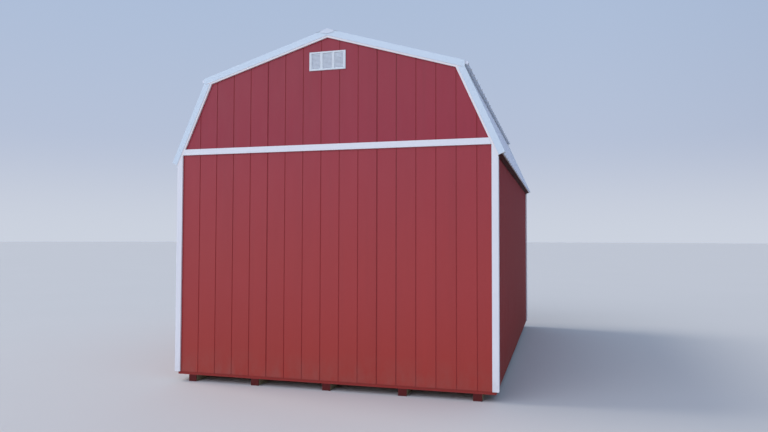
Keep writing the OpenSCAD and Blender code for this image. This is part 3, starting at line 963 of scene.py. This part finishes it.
# ---------------------------------------------------------------- gable vents
def vent(end, sy):
    z0, z1 = VENT_Z - VENT_H / 2, VENT_Z + VENT_H / 2
    iw, ih = VENT_W / 2 - VENT_F, VENT_H / 2 - VENT_V
    near, far = (BAR_PITCH - BAR_W) / 2, (BAR_PITCH + BAR_W) / 2
    fr = Build()
    xs = [-VENT_W / 2, -iw, -far, -near, near, far, iw, VENT_W / 2]
    zs = [z0, VENT_Z - ih, VENT_Z + ih, z1]
    verts, idx = [], {}

    def vid(x, u, z):
        key = (round(x, 6), round(u, 6), round(z, 6))
        if key not in idx:
            idx[key] = len(verts)
            verts.append((x, -HL - u, z))
        return idx[key]

    faces = []
    solid = [[not (i in (1, 3, 5) and j == 1) for j in range(3)] for i in range(7)]
    T = VENT_T
    for i in range(7):
        for j in range(3):
            if not solid[i][j]:
                continue
            x0, x1, a, c = xs[i], xs[i + 1], zs[j], zs[j + 1]
            faces.append([vid(x0, T, a), vid(x1, T, a), vid(x1, T, c), vid(x0, T, c)])
            faces.append([vid(x0, 0, a), vid(x0, 0, c), vid(x1, 0, c), vid(x1, 0, a)])
            for di, dj, q in ((-1, 0, (x0, a, x0, c)), (1, 0, (x1, a, x1, c)), (0, -1, (x0, a, x1, a)), (0, 1, (x0, c, x1, c))):
                k, l = i + di, j + dj
                if 0 <= k < 7 and 0 <= l < 3 and solid[k][l]:
                    continue
                faces.append([vid(q[0], 0, q[1]), vid(q[2], 0, q[3]), vid(q[2], T, q[3]), vid(q[0], T, q[1])])
    fr.add(verts, faces)
    fr.mirrored(1, sy).make(f"vent_frame_{end}", [VENT_FRAME], "vent_plastic", f"{end}_vent", bevel=0.0022, segments=3)
    bl = Build()
    rows = 12
    for x0, x1 in ((-iw - 0.001, -far + 0.001), (-near - 0.001, near + 0.001), (far - 0.001, iw + 0.001)):
        for r in range(rows):
            zc = VENT_Z - ih + (r + 0.5) * 2 * ih / rows
            q = [(0.0068, zc - 0.0086), (0.0068, zc - 0.0060), (0.0060, zc - 0.0046), (-0.0046, zc + 0.0086), (-0.0046, zc + 0.0068), (0.0048, zc - 0.0056), (0.0056, zc - 0.0086)]
            bl.prism(q, lambda u, z, x=x0: (x, -HL - u, z), lambda u, z, x=x1: (x, -HL - u, z))
    bl.mirrored(1, sy).make(f"vent_blades_{end}", [VENT_BLADES_LIT], "vent_plastic", smooth=40)
    sc = Build()
    sc.box((-iw - 0.001, -HL + 0.0052, VENT_Z - ih - 0.001), (iw + 0.001, -HL + 0.0062, VENT_Z + ih + 0.001))
    sc.mirrored(1, sy).make(f"vent_screen_{end}", [SCREEN], "vent_plastic")


for end, sy in ENDS:
    vent(end, sy)


# ---------------------------------------------------------------- nails in the white boards
for end, sy in ENDS:
    b = Build()
    spots = []
    for k in range(9):
        x = -1.60 + 3.2 * k / 8
        spots += [(x, FOOT + 2.4148 + 0.014), (x + 0.006, FOOT + 2.4148 + 0.050)]
    for sx in (-1, 1):
        z = LAP + 0.05
        while z < 2.40:
            spots += [(sx * (HW - 0.028), z), (sx * (HW + 0.006), z + 0.004)]
            z += 0.405
    nail_heads(b, spots, lambda x, d, z: (x, -HL - TT + d, z), 0.0034, 0.0008)
    b.mirrored(1, sy).make(f"trim_nails_{end}", [WHITE_Z], "white_trim", smooth=40)


# ---------------------------------------------------------------- floor, light, camera
def floor_material():
    g = Graph("floor_pale", spec=0.25, color=(0.8, 0.79, 0.77))
    v = g.math("ADD", around(g, g.noise((0.35, 0.35, 0.35), 3, 0.5), 0.03), around(g, g.noise((120, 120, 120), 3, 0.6), 0.03, 0.0))
    return g.finish(g.tint((0.62, 0.595, 0.56), v), around(g, g.noise((2, 2, 2), 2, 0.5), 0.08, 0.86), g.bump(g.noise((160, 160, 160), 3, 0.6), 0.001, 0.3))


R = 260.0
me = bpy.data.meshes.new("studio_floor")
ring = [(R * math.cos(2 * math.pi * i / 96), R * math.sin(2 * math.pi * i / 96), 0.0) for i in range(96)]
me.from_pydata(ring, [], [tuple(range(96))])
me.materials.append(floor_material())
floor = bpy.data.objects.new("studio_floor", me)
bpy.context.scene.collection.objects.link(floor)


def world():
    w = bpy.data.worlds.new("studio")
    bpy.context.scene.world = w
    w.use_nodes = True
    t = w.node_tree
    t.nodes.clear()
    out = t.nodes.new("ShaderNodeOutputWorld")
    bg = t.nodes.new("ShaderNodeBackground")
    t.links.new(bg.outputs[0], out.inputs[0])
    tc = t.nodes.new("ShaderNodeTexCoord")
    sep = t.nodes.new("ShaderNodeSeparateXYZ")
    t.links.new(tc.outputs["Generated"], sep.inputs[0])

    def m(op, a, b=None):
        n = t.nodes.new("ShaderNodeMath")
        n.operation = op
        for i, v in enumerate((a, b)):
            if v is None:
                continue
            if isinstance(v, (int, float)):
                n.inputs[i].default_value = v
            else:
                t.links.new(v, n.inputs[i])
        return n.outputs[0]

    def glow(color, value, under=None):
        """color times value, added to what is there already."""
        n = t.nodes.new("ShaderNodeVectorMath")
        n.operation = "MULTIPLY_ADD" if under is not None else "SCALE"
        n.inputs[0].default_value = color
        if under is None:
            t.links.new(value, n.inputs["Scale"])
            return n.outputs[0]
        t.links.new(value, n.inputs[1])
        t.links.new(under, n.inputs[2])
        return n.outputs[0]

    x, y, z = sep.outputs
    low = m("POWER", m("SUBTRACT", 1.0, m("MAXIMUM", z, 0.0)), 2.0)
    sky = glow((0.52, 0.56, 0.68), low)
    sky = glow((0.34, 0.48, 0.70), m("SUBTRACT", 1.0, low), sky)
    # more light from the front, less from the right
    sky = glow((0.42, 0.36, 0.46), m("POWER", m("MAXIMUM", m("MULTIPLY", y, -1.0), 0.0), 1.5), sky)
    sky = glow((-0.20, -0.21, -0.22), m("POWER", m("MAXIMUM", x, 0.0), 1.5), sky)
    haze = t.nodes.new("ShaderNodeMix")
    haze.data_type = "RGBA"
    fac = t.nodes.new("ShaderNodeMapRange")
    fac.interpolation_type = "SMOOTHSTEP"
    fac.inputs["From Min"].default_value = -0.01
    fac.inputs["From Max"].default_value = 0.16
    t.links.new(z, fac.inputs["Value"])
    t.links.new(fac.outputs[0], haze.inputs[0])
    haze.inputs[6].default_value = (0.60, 0.645, 0.735, 1)
    t.links.new(sky, haze.inputs[7])
    t.links.new(haze.outputs[2], bg.inputs[0])


def soft_sun(name, color, energy, angle, direction):
    """Light from far away, as soft as angle is wide."""
    data = bpy.data.lights.new(name, "SUN")
    data.energy, data.color, data.angle = energy, color, math.radians(angle)
    ob = bpy.data.objects.new(name, data)
    ob.rotation_euler = Vector(direction).to_track_quat("Z", "Y").to_euler()
    ob.location = Vector(direction) * 9.0
    bpy.context.scene.collection.objects.link(ob)


world()
soft_sun("key", (1.0, 0.96, 0.90), 1.35, 24, (-0.70, 0.03, 0.71))
soft_sun("fill", (0.93, 0.92, 1.0), 0.85, 60, (-0.48, -0.72, 0.50))

cam_data = bpy.data.cameras.new("camera")
cam_data.sensor_fit = "HORIZONTAL"
cam_data.sensor_width = 36.0
cam_data.lens = 631.086863 * 36.0 / 768.0
cam_data.clip_end = 1000.0
cam = bpy.data.objects.new("camera", cam_data)
bpy.context.scene.collection.objects.link(cam)
yaw, pitch, roll = 0.271041361, 0.0353991196, 0.00242036935
fwd = Vector((-math.sin(yaw) * math.cos(pitch), math.cos(yaw) * math.cos(pitch), math.sin(pitch)))
r0 = Vector((math.cos(yaw), math.sin(yaw), 0))
u0 = r0.cross(fwd)
rt = r0 * math.cos(roll) + u0 * math.sin(roll)
up = u0 * math.cos(roll) - r0 * math.sin(roll)
rot = Matrix((rt, up, -fwd)).transposed().to_4x4()
cam.matrix_world = Matrix.Translation((2.32881, -8.89878, 1.57021)) @ rot
bpy.context.scene.camera = cam

vs = bpy.context.scene.view_settings
vs.view_transform = "Standard"
vs.look = "None"
vs.exposure = 0.0
